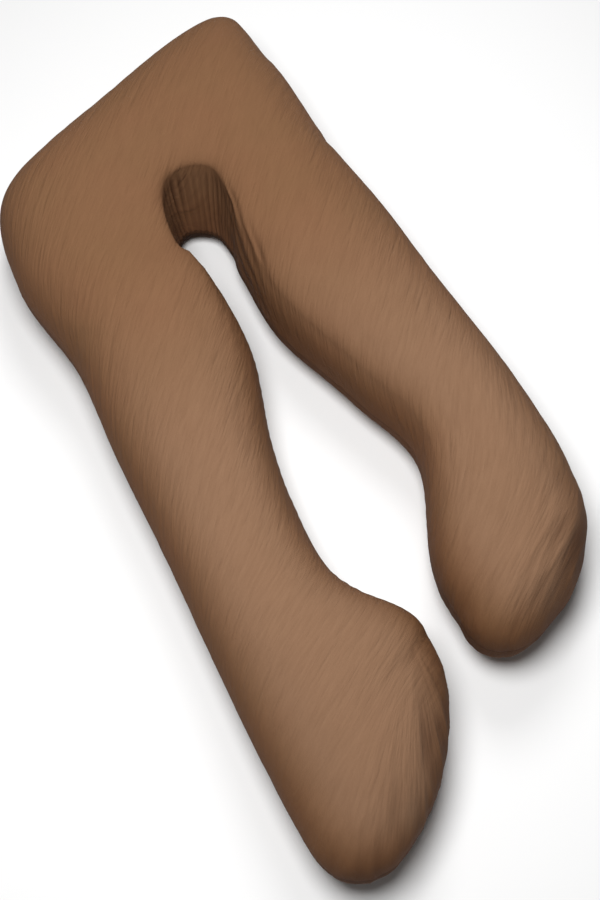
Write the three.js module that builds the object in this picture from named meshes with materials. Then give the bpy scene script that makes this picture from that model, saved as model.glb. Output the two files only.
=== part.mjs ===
// U-shaped pregnancy pillow: one stuffed cushion lying flat on its underside.
// Millimetres, +Z up. The bend is at +Y, the two arms run towards -Y, and the left arm is at -X.
import * as THREE from 'three';

// Cuts across the cushion, from the left tip round the bend to the right tip.
// outerX, outerY, innerX, innerY: where the cut meets the outer and the inner edge in plan
// thick: height of the crown; low: height of the inner edge as a share of thick
// wall: 0 for a rounded inner side, 1 for a steep inner wall under a creased top
// lean: how far the wall leans back from the inner edge to the crease
const cuts = [
  // outerX outerY innerX innerY thick low wall lean
  [-363, -704, -26, -516, 236, 0.46, 0.0, 10],
  [-361, -530, -32, -450, 240, 0.44, 0.0, 10],
  [-350, -347, -105, -317, 228, 0.42, 0.0, 10],
  [-337, -160, -85, -102, 226, 0.42, 0.1, 8],
  [-328, 33, -23, 120, 234, 0.4, 0.2, 8],
  [-315, 235, -13, 278, 245, 0.32, 0.5, 8],
  [-333, 461, -45, 334, 245, 0.24, 0.9, 8],
  [-272, 634, -39, 399, 245, 0.2, 1.0, 10],
  [-7, 741, 4, 445, 240, 0.2, 1.0, 32],
  [266, 802, 53, 416, 245, 0.2, 1.0, 42],
  [310, 652, 59, 355, 245, 0.24, 0.9, 24],
  [318, 416, 45, 290, 245, 0.32, 0.6, 12],
  [338, 208, 46, 143, 236, 0.36, 0.5, 8],
  [349, 18, 99, -42, 226, 0.38, 0.4, 6],
  [358, -138, 133, -208, 222, 0.42, 0.2, 6],
  [355, -286, 53, -398, 234, 0.44, 0.0, 8],
  [342, -390, 42, -506, 232, 0.46, 0.0, 10],
];
const bendCut = 8;
const leftTipLength = 160;
const rightTipLength = 130;
const planShift = [2, -2];

// The cross-section: a stuffed round with its widest line near mid-height and a flat foot
const seamHeight = 0.46;
const topRoundness = 2.2;
const footRoundness = 2.6;
const footPress = 1.1;
const creaseHeight = 0.86;
const wallShare = 0.45;
const tipSoftness = 0.9;
const tipFullness = 0.85;

// The main folds: pleats down the notch wall, and folds gathered at the end of each arm
const notchFold = { depth: 2.5, spacing: 22, reach: 120 };
const tipFold = { depth: 3, count: 10, reach: 150 };

// Mesh density
const armSteps = 6;
const notchSteps = 9;
const notchFrom = 5;
const notchTo = 11;
const tipSteps = 10;
const ringPoints = 40;

const mix = (a, b, k) => a + (b - a) * k;
const clamp01 = (k) => Math.min(1, Math.max(0, k));
const ease = (k) => clamp01(k) * clamp01(k) * (3 - 2 * clamp01(k));

// A smooth curve through the rows of the table, at row number t
function rowAt(t) {
  const last = cuts.length - 1;
  const i = Math.min(Math.floor(t), last - 1);
  const f = t - i;
  return cuts[0].map((_, c) => {
    const p1 = cuts[i][c];
    const p2 = cuts[i + 1][c];
    const p0 = i > 0 ? cuts[i - 1][c] : 2 * p1 - p2;
    const p3 = i + 2 <= last ? cuts[i + 2][c] : 2 * p2 - p1;
    const bend = 2 * p0 - 5 * p1 + 4 * p2 - p3;
    const twist = 3 * p1 - p0 - 3 * p2 + p3;
    return 0.5 * (2 * p1 + (p2 - p0) * f + bend * f * f + twist * f * f * f);
  });
}

// One cut: its middle and its half width as plan vectors, with its heights
function cutAt(t) {
  const [ox, oy, ix, iy, thick, low, wall, lean] = rowAt(t);
  return {
    mid: new THREE.Vector2((ox + ix) / 2, (oy + iy) / 2),
    half: new THREE.Vector2((ox - ix) / 2, (oy - iy) / 2),
    thick,
    low,
    wall: clamp01(wall),
    creaseAcross: 1 - (2 * lean) / Math.hypot(ox - ix, oy - iy),
    shrink: 1,
  };
}

// The cuts that round off the end of an arm, from the body outwards
function tipCuts(t, inward, length) {
  const end = cutAt(t);
  const along = end.mid.clone().sub(cutAt(t + inward).mid).normalize();
  const list = [];
  for (let j = 1; j < tipSteps; j += 1) {
    const angle = (j / tipSteps) * (Math.PI / 2);
    const shrink = Math.cos(angle);
    const out = Math.sin(angle) * length;
    list.push({
      ...end,
      mid: end.mid.clone().addScaledVector(along, out),
      half: end.half.clone().multiplyScalar(shrink ** tipFullness),
      shrink,
    });
  }
  const point = end.mid.clone().addScaledVector(along, length);
  return { list, point: [point.x, point.y, seamHeight * end.thick] };
}

// One point of a cut's outline: angle 0 is the outer edge, a quarter turn the crown,
// half a turn the inner edge and three quarters the foot
function outlinePoint(cut, angle) {
  const c = Math.cos(angle);
  const s = Math.sin(angle);
  const outer = c >= 0;
  const edge = cut.thick * (outer ? seamHeight : cut.low);
  const rise = cut.thick - edge;
  let across = Math.abs(c) ** (2 / topRoundness);
  let z = edge;
  if (s >= 0) {
    z += rise * s ** (2 / topRoundness);
    if (!outer) {
      const turn = Math.atan2(s, -c) / (Math.PI / 2);
      const up = clamp01(turn / wallShare);
      const over = clamp01((turn - wallShare) / (1 - wallShare)) * (Math.PI / 2);
      const crest = cut.thick * creaseHeight;
      const onWall = turn < wallShare;
      const wallAcross = onWall ? mix(1, cut.creaseAcross, up) : cut.creaseAcross * Math.cos(over);
      const wallZ = onWall ? mix(edge, crest, up) : crest + (cut.thick - crest) * Math.sin(over);
      across = mix(across, wallAcross, cut.wall);
      z = mix(z, wallZ, cut.wall);
    }
  } else {
    z -= edge * footPress * (-s) ** (2 / footRoundness);
  }
  z = Math.max(0, edge + (z - edge) * cut.shrink ** tipSoftness);
  const side = outer ? across : -across;
  return new THREE.Vector3(cut.mid.x + cut.half.x * side, cut.mid.y + cut.half.y * side, z);
}

// All the cuts in order
const leftTip = tipCuts(0, 0.2, leftTipLength);
const rightTip = tipCuts(cuts.length - 1, -0.2, rightTipLength);
const body = [];
for (let i = 0; i < cuts.length - 1; i += 1) {
  const steps = i >= notchFrom && i < notchTo ? notchSteps : armSteps;
  for (let j = 0; j < steps; j += 1) {
    body.push({ ...cutAt(i + j / steps), row: i + j / steps });
  }
}
body.push({ ...cutAt(cuts.length - 1), row: cuts.length - 1 });
const all = [...leftTip.list.reverse(), ...body, ...rightTip.list];

// How far each cut is from the middle of the bend along the inner edge, and from its own tip
const innerEdge = all.map((cut) => cut.mid.clone().sub(cut.half));
const bendIndex = all.findIndex((cut) => cut.row === bendCut);
const run = [0];
for (let i = 1; i < all.length; i += 1) {
  run.push(run[i - 1] + innerEdge[i].distanceTo(innerEdge[i - 1]));
}
const leftPoint = new THREE.Vector2(leftTip.point[0], leftTip.point[1]);
const rightPoint = new THREE.Vector2(rightTip.point[0], rightTip.point[1]);
all.forEach((cut, i) => {
  cut.fromBend = run[i] - run[bendIndex];
  cut.fromTip = Math.min(cut.mid.distanceTo(leftPoint), cut.mid.distanceTo(rightPoint));
});

// How far a fold pushes the surface in at one point
function foldDepth(cut, angle, z) {
  const onWall = Math.cos(angle) < 0 ? ease((z - 10) / 40) * ease((0.9 * cut.thick - z) / 50) : 0;
  const nearBend = ease((notchFold.reach - Math.abs(cut.fromBend)) / 40);
  const notchWave = 0.5 + 0.5 * Math.cos((2 * Math.PI * cut.fromBend) / notchFold.spacing);
  const nearTip = ease((tipFold.reach - cut.fromTip) / tipFold.reach) * ease(cut.fromTip / 25);
  const tipWave = 0.5 + 0.5 * Math.cos(tipFold.count * angle);
  const aboveFoot = ease(z / 40);
  return notchFold.depth * onWall * nearBend * notchWave + tipFold.depth * nearTip * tipWave * aboveFoot;
}

// The skin of the cushion: a ring of points for each cut, and one point at each tip
const points = [];
const angles = [];
all.forEach((cut) => {
  for (let k = 0; k < ringPoints; k += 1) {
    const angle = (k / ringPoints) * 2 * Math.PI;
    points.push(outlinePoint(cut, angle));
    angles.push(angle);
  }
});
const index = [];
const ring = (i, k) => i * ringPoints + (k % ringPoints);
const leftEnd = all.length * ringPoints;
const rightEnd = leftEnd + 1;
for (let i = 0; i < all.length - 1; i += 1) {
  for (let k = 0; k < ringPoints; k += 1) {
    index.push(ring(i, k), ring(i, k + 1), ring(i + 1, k));
    index.push(ring(i + 1, k), ring(i, k + 1), ring(i + 1, k + 1));
  }
}
for (let k = 0; k < ringPoints; k += 1) {
  index.push(leftEnd, ring(0, k + 1), ring(0, k));
  index.push(rightEnd, ring(all.length - 1, k), ring(all.length - 1, k + 1));
}
points.push(new THREE.Vector3(...leftTip.point), new THREE.Vector3(...rightTip.point));

const geometry = new THREE.BufferGeometry();
geometry.setAttribute('position', new THREE.Float32BufferAttribute(points.flatMap((p) => [p.x, p.y, p.z]), 3));
geometry.setIndex(index);
geometry.computeVertexNormals();

// Press the folds in, and keep the foot flat on the surface
const position = geometry.getAttribute('position');
const normal = geometry.getAttribute('normal');
angles.forEach((angle, n) => {
  const cut = all[Math.floor(n / ringPoints)];
  const p = points[n];
  const depth = foldDepth(cut, angle, p.z);
  const z = p.z > 0 ? Math.max(0, p.z - depth * normal.getZ(n)) : 0;
  position.setXYZ(n, p.x - depth * normal.getX(n), p.y - depth * normal.getY(n), z);
});
geometry.translate(planShift[0], planShift[1], 0);
geometry.computeVertexNormals();

const fabric = new THREE.MeshStandardMaterial({ color: 0x89674d, roughness: 0.85, metalness: 0 });
const pillow = new THREE.Mesh(geometry, fabric);
pillow.name = 'pillow';

const group = new THREE.Group();
group.add(pillow);

export default group;
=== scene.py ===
# U-shaped pregnancy pillow in plain brown fabric, lying on a pale floor.
# Metres, +Z up. The bend is at +Y, the two arms run towards -Y, and the left arm is at -X.
import math

import bpy
import numpy as np
from mathutils import Matrix, Vector


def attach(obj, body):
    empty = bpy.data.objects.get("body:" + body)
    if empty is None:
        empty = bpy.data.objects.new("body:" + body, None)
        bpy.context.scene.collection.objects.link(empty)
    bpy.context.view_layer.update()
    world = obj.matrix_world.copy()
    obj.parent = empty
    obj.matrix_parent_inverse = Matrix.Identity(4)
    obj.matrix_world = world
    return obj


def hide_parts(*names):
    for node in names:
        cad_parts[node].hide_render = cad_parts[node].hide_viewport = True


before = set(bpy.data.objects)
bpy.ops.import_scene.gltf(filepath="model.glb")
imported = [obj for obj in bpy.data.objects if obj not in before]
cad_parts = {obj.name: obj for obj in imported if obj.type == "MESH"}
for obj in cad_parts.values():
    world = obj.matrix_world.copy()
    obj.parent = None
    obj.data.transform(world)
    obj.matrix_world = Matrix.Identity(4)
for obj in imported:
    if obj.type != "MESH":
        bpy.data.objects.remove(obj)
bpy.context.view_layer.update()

# The camera, at the photograph's viewing angle
CAMERA_AZIMUTH = -25.5
CAMERA_ELEVATION = 65.0
CAMERA_ROLL = -3.8
CAMERA_DISTANCE = 2.72
CAMERA_TARGET = Vector((-0.036, -0.093, 0.1))
CAMERA_LENS = 61.4

# The studio
FLOOR_HALF_SIDE = 9.0
FLOOR_GREY = 0.78
WORLD_STRENGTH = 0.12
LIGHT_TARGET = (0, 0, 0.1)

# Cuts across the cushion, from the left tip round the bend to the right tip.
# outer x, y and inner x, y: where the cut meets the outer and the inner edge in plan
# thick: height of the crown; low: height of the inner edge as a share of thick
# wall: 0 for a rounded inner side, 1 for a steep inner wall under a creased top
# lean: how far the wall leans back from the inner edge to the crease
CUTS = np.array([
    # outer x, outer y, inner x, inner y, thick, low, wall, lean
    (-0.363, -0.704, -0.026, -0.516, 0.236, 0.46, 0.0, 0.010),
    (-0.361, -0.530, -0.032, -0.450, 0.240, 0.44, 0.0, 0.010),
    (-0.350, -0.347, -0.105, -0.317, 0.228, 0.42, 0.0, 0.010),
    (-0.337, -0.160, -0.085, -0.102, 0.226, 0.42, 0.1, 0.008),
    (-0.328, 0.033, -0.023, 0.120, 0.234, 0.40, 0.2, 0.008),
    (-0.315, 0.235, -0.013, 0.278, 0.245, 0.32, 0.5, 0.008),
    (-0.333, 0.461, -0.045, 0.334, 0.245, 0.24, 0.9, 0.008),
    (-0.272, 0.634, -0.039, 0.399, 0.245, 0.20, 1.0, 0.010),
    (-0.007, 0.741, 0.004, 0.445, 0.240, 0.20, 1.0, 0.032),
    (0.266, 0.802, 0.053, 0.416, 0.245, 0.20, 1.0, 0.042),
    (0.310, 0.652, 0.059, 0.355, 0.245, 0.24, 0.9, 0.024),
    (0.318, 0.416, 0.045, 0.290, 0.245, 0.32, 0.6, 0.012),
    (0.338, 0.208, 0.046, 0.143, 0.236, 0.36, 0.5, 0.008),
    (0.349, 0.018, 0.099, -0.042, 0.226, 0.38, 0.4, 0.006),
    (0.358, -0.138, 0.133, -0.208, 0.222, 0.42, 0.2, 0.006),
    (0.355, -0.286, 0.053, -0.398, 0.234, 0.44, 0.0, 0.008),
    (0.342, -0.390, 0.042, -0.506, 0.232, 0.46, 0.0, 0.010),
])
BEND_CUT = 8
LEFT_TIP_LENGTH = 0.160
RIGHT_TIP_LENGTH = 0.130
TIP_LOOK_BACK = 0.2
PLAN_SHIFT = np.array((0.002, -0.002))

# The cross-section: a stuffed round with its widest line near mid-height and a flat foot
SEAM_HEIGHT = 0.46
TOP_ROUNDNESS = 2.2
FOOT_ROUNDNESS = 2.6
FOOT_PRESS = 1.1
CREASE_HEIGHT = 0.86
WALL_SHARE = 0.45
TIP_SOFTNESS = 0.9
TIP_FULLNESS = 0.85

# Mesh density; most of a ring's points are above the seam
ARM_STEPS = 28
NOTCH_STEPS = 36
NOTCH_SPANS = range(5, 11)
TIP_STEPS = 36
TOP_POINTS = 120
FOOT_POINTS = 48
RING_POINTS = TOP_POINTS + FOOT_POINTS
CROWN = TOP_POINTS // 2
INNER_SEAM = TOP_POINTS
FOOT = TOP_POINTS + FOOT_POINTS // 2

# The cloth simulation runs over every few rings and points, on a cover cut a little large
CLOTH_RING_STEP = 2
CLOTH_POINT_STEP = 3
CLOTH_SLACK = 0.05
CLOTH_FRAMES = 20
CLOTH_GROWTH_ROUNDS = 40
CLOTH_CAP = 0.0025
CLOTH_SEAM_FADE = 0.06
CLOTH_FOOT_FADE = 0.04

# Creases run at one heading in plan over the body and at a lower one at the arm ends, in degrees
# from +X. At the left end they give way to a fan, whose lines have their true width at FAN_RADIUS.
BODY_HEADING = 46
END_HEADING = 32
CREASE_PIVOT = np.array((0.0, -0.55))
FAN_CENTRE = np.array((-0.060, -0.517))
FAN_RADIUS = 0.2

# Where folds lie on the inner walls, as from, to and fade. run: distance along the inner edge from
# the middle of the bend; rise: share of the quarter turn above the seam
NOTCH_RUN = (-0.10, 0.10, 0.06)
NOTCH_RISE = (0.02, 0.34, 0.12)
NOTCH_SHADE_RUN = (-0.10, 0.14, 0.08)
TENSION_RUN = (0.14, 0.24, 0.06)
TENSION_RISE = (0.12, 0.50, 0.15)
ARM_RUN = (0.40, 0.85, 0.12)
ARM_RISE = (0.05, 0.32, 0.20)

# Fold spacings and depths, and slants in waves per quarter turn
PLEAT_SPACING = 0.0105
PLEAT_DEPTH = 0.0011
PINCH_WIDTH = 0.0065
PINCH_DEPTH = 0.0042
TENSION_SPACING = 0.085
TENSION_SLANT = 6.0
TENSION_DEPTH = 0.0014
ARM_PLEAT_SPACING = 0.023
ARM_PLEAT_SLANT = 1.2
ARM_PLEAT_DEPTH = 0.0006
GATHER_REACH = 0.24
FINE_GATHER_DEPTH = 0.0030
WIDE_GATHER_DEPTH = 0.0036
FINE_SLACK_DEPTH = 0.0012
WIDE_SLACK_DEPTH = 0.0020
SEAM_DIMPLE_DEPTH = 0.0010
SEAM_DIMPLE_WIDTH = 0.005
SWELL = 0.0018
LUMP_SIZE = 0.16
LUMP_HEIGHT = 0.003
FOOT_FADE = 0.03

# Colours of the cover, some of them painted shade or a painted highlight, and how much of each change shows
BROWN_REDDER = (0.182, 0.086, 0.042, 1)
BROWN_GREENER = (0.168, 0.086, 0.040, 1)
# Painted shade: the sides are darker than the crown
BROWN_SIDE_SHADE = (0.128, 0.053, 0.023, 1)
# Painted highlight: the crown is paler, more so towards the arm ends
BROWN_PAINTED_HIGHLIGHT = (0.232, 0.134, 0.080, 1)
# Painted shade along the creases, mixed with a random mottle that is the cloth's own tone
BROWN_MOTTLE_AND_CREASE_SHADE = (0.100, 0.045, 0.022, 1)
# Painted shade in the folds, on the notch wall and on the right of the arm ends
BROWN_FOLD_SHADE = (0.065, 0.028, 0.014, 1)
# The seam line's own colour, also used as painted shade in a strip under the seam
BROWN_SEAM_AND_UNDER_SHADE = (0.030, 0.014, 0.008, 1)
SIDE_SHADE_SHARE = 0.8
PAINTED_HIGHLIGHT_SHARE = 0.8
MOTTLE_AND_CREASE_SHADE_SHARE = 0.30
FOLD_SHADE_SHARE = 0.62
GROOVE_SHARE = 0.5

# The fabric: lengths in metres; creases (across, along) and the noise scales in bumps a metre
THREAD_SPACING = 0.0007
# How far from the seam the painted shade of the sides reaches
SIDE_SHADE_WIDTH = 0.10
GROOVE_WIDTH = 0.0030
PUCKER_WIDTH = 0.02
FINE_CREASES = (200.0, 20.0)
BROAD_CREASES = (75.0, 9.0)
MOTTLE_SCALE = 260.0
PUCKER_SCALE = 130.0
PATCH_SCALE = 7.0
BROAD_BUMP = 0.0014
FINE_BUMP = 0.0007
PUCKER_BUMP = 0.0014
GROOVE_BUMP = 0.0008
WEAVE_BUMP = 0.00006


def ease(k):
    """0 up to 0, 1 from 1, and a soft rise between."""
    k = np.clip(k, 0, 1)
    return k * k * (3 - 2 * k)


def band(value, low, high, soft):
    """1 between low and high, fading to 0 over soft on each side."""
    return ease((value - low) / soft + 1) * ease((high - value) / soft + 1)


def noise(points, size, seed):
    """Smooth noise from -1 to 1 with bumps about as wide as size, over a table that repeats."""
    count = 32
    offset = 7.3
    table = np.random.default_rng(seed).random((count, count, count)) * 2 - 1
    cell = points / size + offset
    low = np.floor(cell).astype(int)
    part = ease(cell - low)
    total = np.zeros(points.shape[:-1])
    for dx in (0, 1):
        for dy in (0, 1):
            for dz in (0, 1):
                x, y, z = (low[..., 0] + dx) % count, (low[..., 1] + dy) % count, (low[..., 2] + dz) % count
                share = np.abs(1 - dx - part[..., 0])
                share = share * np.abs(1 - dy - part[..., 1])
                total += table[x, y, z] * share * np.abs(1 - dz - part[..., 2])
    return total


def rows_at(t):
    """A smooth curve through the rows of the table, at row numbers t."""
    before = 2 * CUTS[0] - CUTS[1]
    after = 2 * CUTS[-1] - CUTS[-2]
    rows = np.vstack([before, CUTS, after])
    i = np.clip(np.floor(t).astype(int), 0, len(CUTS) - 2)
    f = (t - i)[:, None]
    p0, p1, p2, p3 = rows[i], rows[i + 1], rows[i + 2], rows[i + 3]
    bend = 2 * p0 - 5 * p1 + 4 * p2 - p3
    twist = 3 * p1 - p0 - 3 * p2 + p3
    return 0.5 * (2 * p1 + (p2 - p0) * f + bend * f**2 + twist * f**3)


def tip_cuts(t, inward, length):
    """The cuts that round off the end of an arm, from the body outwards, and the end point."""
    end, inner = rows_at(np.array([t, t + inward], float))
    mid = (end[:2] + end[2:4]) / 2
    along = mid - (inner[:2] + inner[2:4]) / 2
    along /= np.linalg.norm(along)
    angle = np.arange(1, TIP_STEPS) / TIP_STEPS * math.pi / 2
    shrink = np.cos(angle)
    mids = mid + np.outer(np.sin(angle) * length, along)
    halves = np.outer(shrink**TIP_FULLNESS, (end[:2] - end[2:4]) / 2)
    heights = np.repeat(end[None, 4:], len(angle), axis=0)
    point = np.array((*(mid + along * length), SEAM_HEIGHT * end[4]))
    return mids, halves, heights, shrink, point


def all_cuts():
    """Middles, half widths, heights and shrinks of the cuts in order, the end points, and the bend's cut."""
    steps = []
    for i in range(len(CUTS) - 1):
        count = NOTCH_STEPS if i in NOTCH_SPANS else ARM_STEPS
        steps.extend(i + j / count for j in range(count))
    t = np.array(steps + [len(CUTS) - 1], float)
    rows = rows_at(t)
    left = tip_cuts(0, TIP_LOOK_BACK, LEFT_TIP_LENGTH)
    right = tip_cuts(len(CUTS) - 1, -TIP_LOOK_BACK, RIGHT_TIP_LENGTH)
    mid = np.vstack([left[0][::-1], (rows[:, :2] + rows[:, 2:4]) / 2, right[0]])
    half = np.vstack([left[1][::-1], (rows[:, :2] - rows[:, 2:4]) / 2, right[1]])
    heights = np.vstack([left[2][::-1], rows[:, 4:], right[2]])
    shrink = np.concatenate([left[3][::-1], np.ones(len(t)), right[3]])[:, None]
    bend = TIP_STEPS - 1 + int(np.argmin(np.abs(t - BEND_CUT)))
    return mid, half, heights, shrink, np.array([left[4], right[4]]), bend


def sections(half, heights, shrink):
    """For each point of each cut: its turn up from the edge, negative under the seam, whether it is
    on the inner side, its place across as a share of the half width, and its height."""
    thick, low, wall = heights[:, 0:1], heights[:, 1:2], np.clip(heights[:, 2:3], 0, 1)
    width = np.linalg.norm(half, axis=1)[:, None]
    crease = 1 - heights[:, 3:4] / np.maximum(width, 0.05)

    top = np.arange(TOP_POINTS) / TOP_POINTS * math.pi
    angle = np.append(top, math.pi * (1 + np.arange(FOOT_POINTS) / FOOT_POINTS))
    c = np.abs(np.cos(angle))[None]
    s = np.abs(np.sin(angle))[None]
    outer = (np.cos(angle) > -1e-9)[None]
    above = (np.sin(angle) > -1e-9)[None]
    edge = np.where(outer, SEAM_HEIGHT, low) * thick

    round_across = c**(2 / TOP_ROUNDNESS)
    round_z = edge + (thick - edge) * s**(2 / TOP_ROUNDNESS)
    turn = np.arctan2(s, c) / (math.pi / 2)
    up = np.clip(turn / WALL_SHARE, 0, 1)
    over = np.clip((turn - WALL_SHARE) / (1 - WALL_SHARE), 0, 1) * math.pi / 2
    crest = thick * CREASE_HEIGHT
    on_wall = turn < WALL_SHARE
    wall_across = np.where(on_wall, 1 - (1 - crease) * up, crease * np.cos(over))
    wall_z = np.where(on_wall, edge + (crest - edge) * up, crest + (thick - crest) * np.sin(over))
    steep = np.where(outer, 0, wall)
    across = np.where(above, round_across * (1 - steep) + wall_across * steep, round_across)
    foot_z = edge - edge * FOOT_PRESS * s**(2 / FOOT_ROUNDNESS)
    z = np.where(above, round_z * (1 - steep) + wall_z * steep, foot_z)
    z = np.maximum(0, edge + (z - edge) * shrink**TIP_SOFTNESS)
    return np.where(above, turn, -turn), ~outer, np.where(outer, across, -across), z


def build_skin():
    """Rings of points for all the cuts, the end points, and what the folds need to know about each."""
    mid, half, heights, shrink, ends, bend = all_cuts()
    turn, inner, side, z = sections(half, heights, shrink)
    points = np.zeros((len(mid), RING_POINTS, 3))
    points[..., 0] = mid[:, 0:1] + half[:, 0:1] * side + PLAN_SHIFT[0]
    points[..., 1] = mid[:, 1:2] + half[:, 1:2] * side + PLAN_SHIFT[1]
    points[..., 2] = z

    inner_edge = mid - half
    run = np.concatenate([[0], np.cumsum(np.linalg.norm(np.diff(inner_edge, axis=0), axis=1))])
    to_left, to_right = [np.linalg.norm(mid - end[:2], axis=1) for end in ends]
    ends[:, :2] += PLAN_SHIFT
    facts = {
        "turn": np.broadcast_to(turn, z.shape),
        "inner": np.broadcast_to(inner, z.shape),
        "from_bend": np.broadcast_to((run - run[bend])[:, None], z.shape),
        "from_tip": np.broadcast_to(np.minimum(to_left, to_right)[:, None], z.shape),
        "half": half,
    }
    return points, ends, facts


def outward(points):
    """Unit normals of the rings, pointing out of the cushion."""
    along = np.gradient(points, axis=0)
    around = np.roll(points, -1, axis=1) - np.roll(points, 1, axis=1)
    normal = np.cross(around, along)
    length = np.linalg.norm(normal, axis=2, keepdims=True)
    return normal / np.maximum(length, 1e-12)


def crease_grid(panel):
    """Coordinates along and across the creases, in metres."""
    toward_end = ease((-0.10 - panel[..., 1]) / 0.40)
    turn = np.radians(BODY_HEADING + (END_HEADING - BODY_HEADING) * toward_end)
    u, v = panel[..., 0] - CREASE_PIVOT[0], panel[..., 1] - CREASE_PIVOT[1]
    return u * np.cos(turn) + v * np.sin(turn), v * np.cos(turn) - u * np.sin(turn)


def fan_grid(panel):
    """Coordinates along and across the lines that spread from the fan's centre, in metres."""
    away = panel - FAN_CENTRE
    spread = np.arctan2(-away[..., 0], -away[..., 1])
    return np.linalg.norm(away, axis=-1), spread * FAN_RADIUS


def streaks(grid, width, length, seed):
    """Smooth noise drawn out along the creases."""
    along, across = grid
    return noise(np.stack([across / width, along / length, 0 * along], axis=-1), 1.0, seed)


def waves(facts, spacing, slant, shift):
    """Even folds from 0 to 2 along the inner edge, slanting up the wall."""
    count = facts["from_bend"] / spacing + facts["turn"] * slant + shift
    return 1 + np.cos(2 * math.pi * count)


def fold_depth(points, facts, panel, seam):
    """How far the folds push each point in, in metres."""
    turn, inner = facts["turn"], facts["inner"]
    from_bend, from_tip = facts["from_bend"], facts["from_tip"]
    wobble = noise(points, size=0.05, seed=11)

    # Pleats down the notch wall, fading before they reach the crease
    in_bend = inner * band(from_bend, *NOTCH_RUN)
    pleat = waves(facts, PLEAT_SPACING, 0, 0.4 * wobble)
    pinch = np.abs(streaks((turn, from_bend), width=PINCH_WIDTH, length=0.8, seed=12))
    depth = in_bend * band(turn, *NOTCH_RISE) * (PLEAT_DEPTH * pleat + PINCH_DEPTH * pinch)

    # Long tension folds where the right arm's inner wall leaves the notch
    where = inner * band(from_bend, *TENSION_RUN) * band(turn, *TENSION_RISE)
    depth += TENSION_DEPTH * where * waves(facts, TENSION_SPACING, TENSION_SLANT, 0.3 * wobble)

    # Short pleats along the inner walls of the two arms, in patches
    where = inner * band(turn, *ARM_RISE) * band(np.abs(from_bend), *ARM_RUN)
    pleat = waves(facts, ARM_PLEAT_SPACING, ARM_PLEAT_SLANT, 0.5 * wobble)
    depth += ARM_PLEAT_DEPTH * where * pleat * ease(0.5 + noise(points, size=0.09, seed=13))

    # Gathers at the ends of the arms: a fan at the left, slanting lines at the right
    grid, fan = crease_grid(panel), fan_grid(panel)
    left = panel[..., 0] < 0
    fine_fan = streaks(fan, width=0.013, length=0.10, seed=14)
    fine_lines = streaks(grid, width=0.013, length=0.09, seed=15)
    wide_fan = streaks(fan, width=0.030, length=0.16, seed=16)
    wide_lines = streaks(grid, width=0.030, length=0.14, seed=17)
    fine = np.abs(np.where(left, fine_fan, fine_lines))
    wide = np.abs(np.where(left, wide_fan, wide_lines))
    reach = GATHER_REACH * (1 + 0.35 * noise(points, size=0.05, seed=18))
    depth += ease(1 - from_tip / reach) * (FINE_GATHER_DEPTH * fine + WIDE_GATHER_DEPTH * wide)

    # Slack creases over the whole cover, in patches and weaker on the notch wall
    fine = np.abs(streaks(grid, width=0.013, length=0.08, seed=19))
    wide = np.abs(streaks(grid, width=0.032, length=0.16, seed=20))
    slack = (0.5 + 0.5 * noise(points, size=0.12, seed=21)) * (1 - 0.8 * in_bend)
    depth += slack * (FINE_SLACK_DEPTH * fine + WIDE_SLACK_DEPTH * wide)

    # The stitched seam draws the cover in, and the cover swells between the folds
    depth += SEAM_DIMPLE_DEPTH * np.exp(-(seam / SEAM_DIMPLE_WIDTH)**2)
    return (depth - SWELL) * ease(points[..., 2] / FOOT_FADE)


def arc_from(points, start):
    """Distance round each ring from the column start, the shorter way."""
    step = np.linalg.norm(np.roll(points, -1, axis=1) - points, axis=2)
    total = step.sum(axis=1, keepdims=True)
    place = np.cumsum(step, axis=1) - step
    gap = np.abs(place - place[:, start:start + 1])
    return np.minimum(gap, total - gap)


def flat_panel(points, facts):
    """Each point's place in the flat panel that it was cut from, and its distance from the seam."""
    flat = np.where(facts["turn"] < 0, arc_from(points, FOOT), arc_from(points, CROWN))
    across = facts["half"] / np.maximum(np.linalg.norm(facts["half"], axis=1, keepdims=True), 1e-9)
    side = np.where(facts["inner"], -1, 1) * flat
    panel = points[:, CROWN:CROWN + 1, :2] + across[:, None] * side[..., None]
    return panel, np.minimum(arc_from(points, 0), arc_from(points, INNER_SEAM))


def ring_mesh(name, points, ends):
    """A closed mesh over rings of points, with a fan of triangles at each end."""
    rings, count = points.shape[:2]
    faces = []
    for i in range(rings - 1):
        a = i * count
        b = a + count
        for k in range(count):
            n = (k + 1) % count
            faces.append((a + k, a + n, b + n, b + k))
    left_end = rings * count
    last = (rings - 1) * count
    for k in range(count):
        n = (k + 1) % count
        faces.append((left_end, n, k))
        faces.append((left_end + 1, last + k, last + n))
    mesh = bpy.data.meshes.new(name)
    mesh.from_pydata(np.vstack([points.reshape(-1, 3), ends]).tolist(), [], faces)
    return mesh


def between(values, at, wrap):
    """Values of rows at fractional row numbers, in a straight line between rows. With wrap, the
    first row follows the last."""
    low = np.floor(at).astype(int)
    share = (at - low)[:, None, None]
    if wrap:
        return values[low % len(values)] * (1 - share) + values[(low + 1) % len(values)] * share
    last = len(values) - 1
    return values[np.minimum(low, last)] * (1 - share) + values[np.minimum(low + 1, last)] * share


def softened(values, times):
    """Values averaged with their neighbours, over and over. The first and last are neighbours too."""
    for _ in range(times):
        for axis in (0, 1):
            values = (np.roll(values, 1, axis=axis) + 2 * values + np.roll(values, -1, axis=axis)) / 4
    return values


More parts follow.
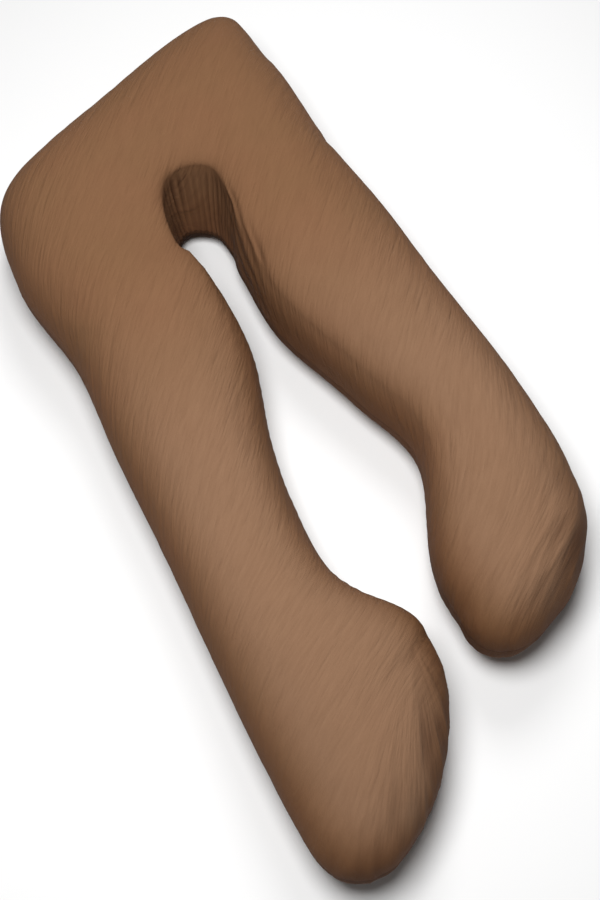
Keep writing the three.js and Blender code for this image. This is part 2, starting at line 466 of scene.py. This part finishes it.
def stuff_cover(rings, ends):
    """Where Blender's cloth takes the rings of a cover that is cut a little large and stuffed."""
    mesh = ring_mesh("trial_cover", rings, ends)
    cover = bpy.data.objects.new("trial_cover", mesh)
    scene = bpy.context.scene
    scene.collection.objects.link(cover)
    settings = cover.modifiers.new("cloth", "CLOTH").settings
    settings.quality = 4
    settings.mass = 0.3
    settings.tension_stiffness = 15
    settings.compression_stiffness = 15
    settings.shear_stiffness = 5
    settings.bending_stiffness = 0.02
    settings.shrink_min = -CLOTH_SLACK
    settings.use_pressure = True
    settings.uniform_pressure_force = 4
    settings.effector_weights.gravity = 0
    for frame_number in range(1, CLOTH_FRAMES + 1):
        scene.frame_set(frame_number)
    stuffed = cover.evaluated_get(bpy.context.evaluated_depsgraph_get()).to_mesh()
    places = np.zeros(3 * len(stuffed.vertices))
    stuffed.vertices.foreach_get("co", places)
    bpy.data.objects.remove(cover)
    bpy.data.meshes.remove(mesh)
    scene.frame_set(1)
    return places.reshape(-1, 3)[:-len(ends)].reshape(rings.shape)


def stuffed_moves(points, ends):
    """How far the folds of the stuffed cover move each point."""
    coarse = points[::CLOTH_RING_STEP, ::CLOTH_POINT_STEP]
    moved = ((stuff_cover(coarse, ends) - coarse) * outward(coarse)).sum(axis=2, keepdims=True)

    # Keep the folds that form and not the growth, which the drawn shape already has
    folds = moved - softened(moved, CLOTH_GROWTH_ROUNDS)
    folds = CLOTH_CAP * np.tanh(folds / CLOTH_CAP)
    folds = between(folds, np.arange(len(points)) / CLOTH_RING_STEP, wrap=False)
    around = between(folds.transpose(1, 0, 2), np.arange(RING_POINTS) / CLOTH_POINT_STEP, wrap=True)
    folds = softened(around.transpose(1, 0, 2), 2)
    return outward(points) * folds * ease(points[..., 2:] / CLOTH_FOOT_FADE)


def fabric_values(points, facts, panel, seam, depth, in_notch):
    """What the fabric's nodes need to know at each point."""
    along, across = crease_grid(panel)
    fan_along, fan_across = fan_grid(panel)
    top = facts["turn"] > 0
    toward_end = ease(0.7 - points[..., 1] / 0.5)

    # Painted shade on the right side of each arm end, near the seam
    rightward = panel[..., 0] - panel[:, CROWN:CROWN + 1, 0]
    arm_end_shade = ease((0.40 - facts["from_tip"]) / 0.25) * ease(rightward / 0.10) * ease((0.25 - seam) / 0.15)
    return {
        "panel_u": panel[..., 0],
        "panel_v": panel[..., 1],
        "seam_gap": seam,
        # Painted shade: darker in the folds' hollows, on the notch wall and on the right of each arm end
        "fold_shade": depth * 250 + top * (0.3 * in_notch + 0.35 * arm_end_shade),
        "crease_along": along,
        "crease_across": across,
        "fan_along": fan_along,
        "fan_across": fan_across,
        "fan": ease((-0.55 - panel[..., 1]) / 0.14) * (panel[..., 0] < 0),
        # Painted highlight on the crown, stronger towards the arm ends
        "painted_highlight": top * ease((seam - 0.05) / 0.11) * (0.15 + 0.85 * toward_end),
        # Painted shade in a strip under the seam, stronger under the notch
        "painted_under_shade": ~top * ease(1 - seam / 0.06) * (0.3 + 0.7 * in_notch),
    }


def add_values(mesh, name, values):
    """Store one value a point, with the end rings' means at the two end points."""
    layer = mesh.attributes.new(name, "FLOAT", "POINT")
    whole = np.append(values.ravel(), (values[0].mean(), values[-1].mean()))
    layer.data.foreach_set("value", whole.astype(np.float32))


def make_pillow():
    points, ends, facts = build_skin()
    panel, seam = flat_panel(points, facts)
    in_notch = facts["inner"] * band(facts["from_bend"], *NOTCH_SHADE_RUN)
    kept = ease(seam / CLOTH_SEAM_FADE) * (1 - in_notch)
    points = points + stuffed_moves(points, ends) * kept[..., None]
    depth = fold_depth(points, facts, panel, seam)
    lumps = LUMP_HEIGHT * noise(points, size=LUMP_SIZE, seed=22) * ease(points[..., 2] / FOOT_FADE)
    lifted = points[..., 2] > 0
    points = points - outward(points) * (depth + lumps)[..., None]
    points[..., 2] = np.where(lifted, np.maximum(points[..., 2], 0), 0)

    mesh = ring_mesh("pillow_cover", points, ends)
    mesh.polygons.foreach_set("use_smooth", [True] * len(mesh.polygons))
    for name, values in fabric_values(points, facts, panel, seam, depth, in_notch).items():
        add_values(mesh, name, values)
    mesh.validate()
    pillow = bpy.data.objects.new("pillow_cover", mesh)
    bpy.context.scene.collection.objects.link(pillow)
    return pillow


class Nodes:
    """Short names for making and joining shader nodes."""

    def __init__(self, material):
        material.use_nodes = True
        self.tree = material.node_tree
        self.shader = self.tree.nodes["Principled BSDF"]

    def put(self, value, socket):
        if isinstance(value, bpy.types.NodeSocket):
            self.tree.links.new(value, socket)
        else:
            socket.default_value = value

    def attribute(self, name):
        node = self.tree.nodes.new("ShaderNodeAttribute")
        node.attribute_name = name
        return node.outputs["Fac"]

    def math(self, operation, a, b, clamp=False):
        node = self.tree.nodes.new("ShaderNodeMath")
        node.operation = operation
        node.use_clamp = clamp
        self.put(a, node.inputs[0])
        self.put(b, node.inputs[1])
        return node.outputs[0]

    def near(self, gap, width):
        """1 at no gap, falling to 0 at width."""
        return self.math("SUBTRACT", 1.0, self.math("DIVIDE", gap, width), clamp=True)

    def blend(self, share, a, b):
        """The number a, moving to b as share goes from 0 to 1."""
        return self.math("ADD", a, self.math("MULTIPLY", share, self.math("SUBTRACT", b, a)))

    def sharpen(self, value, contrast):
        """Spread a value around one half, kept from 0 to 1."""
        centred = self.math("MULTIPLY", self.math("SUBTRACT", value, 0.5), contrast)
        return self.math("ADD", centred, 0.5, clamp=True)

    def vector(self, x, y, z):
        node = self.tree.nodes.new("ShaderNodeCombineXYZ")
        for value, socket in zip((x, y, z), node.inputs):
            self.put(value, socket)
        return node.outputs[0]

    def noise(self, place, scale, detail):
        node = self.tree.nodes.new("ShaderNodeTexNoise")
        self.put(place, node.inputs["Vector"])
        node.inputs["Scale"].default_value = scale
        node.inputs["Detail"].default_value = detail
        return node.outputs["Fac"]

    def creases(self, lines, across_scale, along_scale):
        """Noise drawn out along the creases or the fan. Each scale has its own slice of the noise."""
        across = self.math("MULTIPLY", self.attribute(lines + "_across"), across_scale)
        along = self.math("MULTIPLY", self.attribute(lines + "_along"), along_scale)
        return self.noise(self.vector(across, along, across_scale), 1.0, 2.0)

    def creases_and_fan(self, scales, contrast):
        """Slanting creases that give way to the fan at the end of the left arm."""
        share = self.attribute("fan")
        lines = self.blend(share, self.creases("crease", *scales), self.creases("fan", *scales))
        return self.sharpen(lines, contrast)

    def mix(self, share, a, b):
        node = self.tree.nodes.new("ShaderNodeMix")
        node.data_type = "RGBA"
        self.put(share, node.inputs["Factor"])
        self.put(a, node.inputs["A"])
        self.put(b, node.inputs["B"])
        return node.outputs["Result"]

    def bump(self, height, distance, normal=None):
        node = self.tree.nodes.new("ShaderNodeBump")
        node.inputs["Strength"].default_value = 1.0
        node.inputs["Distance"].default_value = distance
        self.put(height, node.inputs["Height"])
        if normal is not None:
            self.put(normal, node.inputs["Normal"])
        return node.outputs["Normal"]


def make_fabric():
    """Smooth brown woven cover: fine threads, slanting creases, a narrow puckered seam."""
    material = bpy.data.materials.new("brown_cover_fabric")
    n = Nodes(material)
    u = n.attribute("panel_u")
    v = n.attribute("panel_v")
    seam_gap = n.attribute("seam_gap")

    # Threads both ways, creases in two sizes, and a mottle
    warp = n.math("SINE", n.math("MULTIPLY", u, 2 * math.pi / THREAD_SPACING), 0.0)
    weft = n.math("SINE", n.math("MULTIPLY", v, 2 * math.pi / THREAD_SPACING), 0.0)
    weave = n.math("MULTIPLY", warp, weft)
    fine = n.creases_and_fan(FINE_CREASES, 2.4)
    broad = n.creases_and_fan(BROAD_CREASES, 2.0)
    mottle = n.sharpen(n.noise(n.vector(u, v, 0.0), MOTTLE_SCALE, 2.0), 2.0)

    # The seam: a narrow groove, puckered along its edge
    groove = n.near(seam_gap, GROOVE_WIDTH)
    pucker = n.noise(n.vector(u, v, 2.0), PUCKER_SCALE, 1.0)
    pucker = n.math("MULTIPLY", n.near(seam_gap, PUCKER_WIDTH), pucker)

    # Painted shade and painted highlight: the sides near the seam are darker than the crown, and the crown
    # is paler towards the arm ends
    patches = n.noise(n.vector(u, v, 0.0), PATCH_SCALE, 2.0)
    colour = n.mix(n.sharpen(patches, 1.6), BROWN_REDDER, BROWN_GREENER)
    # Painted shade on the sides, fading out away from the seam
    side = n.near(seam_gap, SIDE_SHADE_WIDTH)
    colour = n.mix(n.math("MULTIPLY", side, SIDE_SHADE_SHARE), colour, BROWN_SIDE_SHADE)
    # Painted highlight on the crown
    colour = n.mix(n.math("MULTIPLY", n.attribute("painted_highlight"), PAINTED_HIGHLIGHT_SHARE), colour, BROWN_PAINTED_HIGHLIGHT)

    # Painted shade: darker along the creases, in the folds, on the notch wall, on the right of each arm end
    # and in a strip under the seam. A random mottle and the seam line are darker too
    mottle_and_crease_shade = n.math("ADD", n.math("MULTIPLY", fine, 0.5), n.math("MULTIPLY", broad, 0.3))
    mottle_and_crease_shade = n.math("ADD", mottle_and_crease_shade, n.math("MULTIPLY", mottle, 0.2))
    # Painted shade in the folds, on the notch wall and at the arm ends
    fold_shade = n.math("MULTIPLY", n.attribute("fold_shade"), FOLD_SHADE_SHARE, clamp=True)
    # Painted shade along the creases, with a random mottle
    colour = n.mix(n.math("MULTIPLY", mottle_and_crease_shade, MOTTLE_AND_CREASE_SHADE_SHARE), colour, BROWN_MOTTLE_AND_CREASE_SHADE)
    colour = n.mix(fold_shade, colour, BROWN_FOLD_SHADE)
    # Painted shade in a strip under the seam
    colour = n.mix(n.attribute("painted_under_shade"), colour, BROWN_SEAM_AND_UNDER_SHADE)
    colour = n.mix(n.math("MULTIPLY", groove, GROOVE_SHARE), colour, BROWN_SEAM_AND_UNDER_SHADE)
    n.put(colour, n.shader.inputs["Base Color"])

    normal = n.bump(broad, BROAD_BUMP)
    normal = n.bump(fine, FINE_BUMP, normal)
    normal = n.bump(pucker, PUCKER_BUMP, normal)
    normal = n.bump(n.math("MULTIPLY", groove, -1.0), GROOVE_BUMP, normal)
    normal = n.bump(weave, WEAVE_BUMP, normal)
    n.put(normal, n.shader.inputs["Normal"])
    n.shader.inputs["Roughness"].default_value = 0.75
    n.shader.inputs["Specular IOR Level"].default_value = 0.06
    return material


def make_floor():
    mesh = bpy.data.meshes.new("floor")
    r = FLOOR_HALF_SIDE
    mesh.from_pydata([(-r, -r, 0), (r, -r, 0), (r, r, 0), (-r, r, 0)], [], [(0, 1, 2, 3)])
    floor = bpy.data.objects.new("floor", mesh)
    bpy.context.scene.collection.objects.link(floor)
    material = bpy.data.materials.new("pale_floor")
    n = Nodes(material)
    n.shader.inputs["Base Color"].default_value = (FLOOR_GREY, FLOOR_GREY, FLOOR_GREY, 1)
    n.shader.inputs["Roughness"].default_value = 0.9
    mesh.materials.append(material)


def add_area_light(name, place, size, power):
    data = bpy.data.lights.new(name, "AREA")
    data.shape = "DISK"
    data.size = size
    data.energy = power
    light = bpy.data.objects.new(name, data)
    light.location = place
    light.rotation_euler = (Vector(LIGHT_TARGET) - Vector(place)).to_track_quat("-Z", "Y").to_euler()
    bpy.context.scene.collection.objects.link(light)


def light_studio():
    world = bpy.data.worlds.new("studio")
    world.use_nodes = True
    background = world.node_tree.nodes["Background"]
    background.inputs["Color"].default_value = (1.0, 1.0, 1.0, 1)
    background.inputs["Strength"].default_value = WORLD_STRENGTH
    bpy.context.scene.world = world
    add_area_light("key", place=(-0.4, -0.3, 2.6), size=1.2, power=75)
    add_area_light("back", place=(1.0, 1.3, 2.5), size=1.2, power=36)


def aim_camera():
    azimuth = math.radians(CAMERA_AZIMUTH)
    elevation = math.radians(CAMERA_ELEVATION)
    roll = math.radians(CAMERA_ROLL)
    flat = math.cos(elevation)
    back = Vector((math.sin(azimuth) * flat, -math.cos(azimuth) * flat, math.sin(elevation)))
    level = Vector((math.cos(azimuth), math.sin(azimuth), 0))
    rise = back.cross(level)
    right = level * math.cos(roll) + rise * math.sin(roll)
    up = rise * math.cos(roll) - level * math.sin(roll)
    data = bpy.data.cameras.new("camera")
    data.lens = CAMERA_LENS
    camera = bpy.data.objects.new("camera", data)
    turn = Matrix((right, up, back)).transposed()
    camera.matrix_world = Matrix.Translation(CAMERA_TARGET + back * CAMERA_DISTANCE) @ turn.to_4x4()
    bpy.context.scene.collection.objects.link(camera)
    bpy.context.scene.camera = camera


aim_camera()
make_floor()
light_studio()
bpy.context.scene.view_settings.view_transform = "Standard"

pillow = make_pillow()
pillow.data.materials.append(make_fabric())
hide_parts("pillow")
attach(pillow, "root")
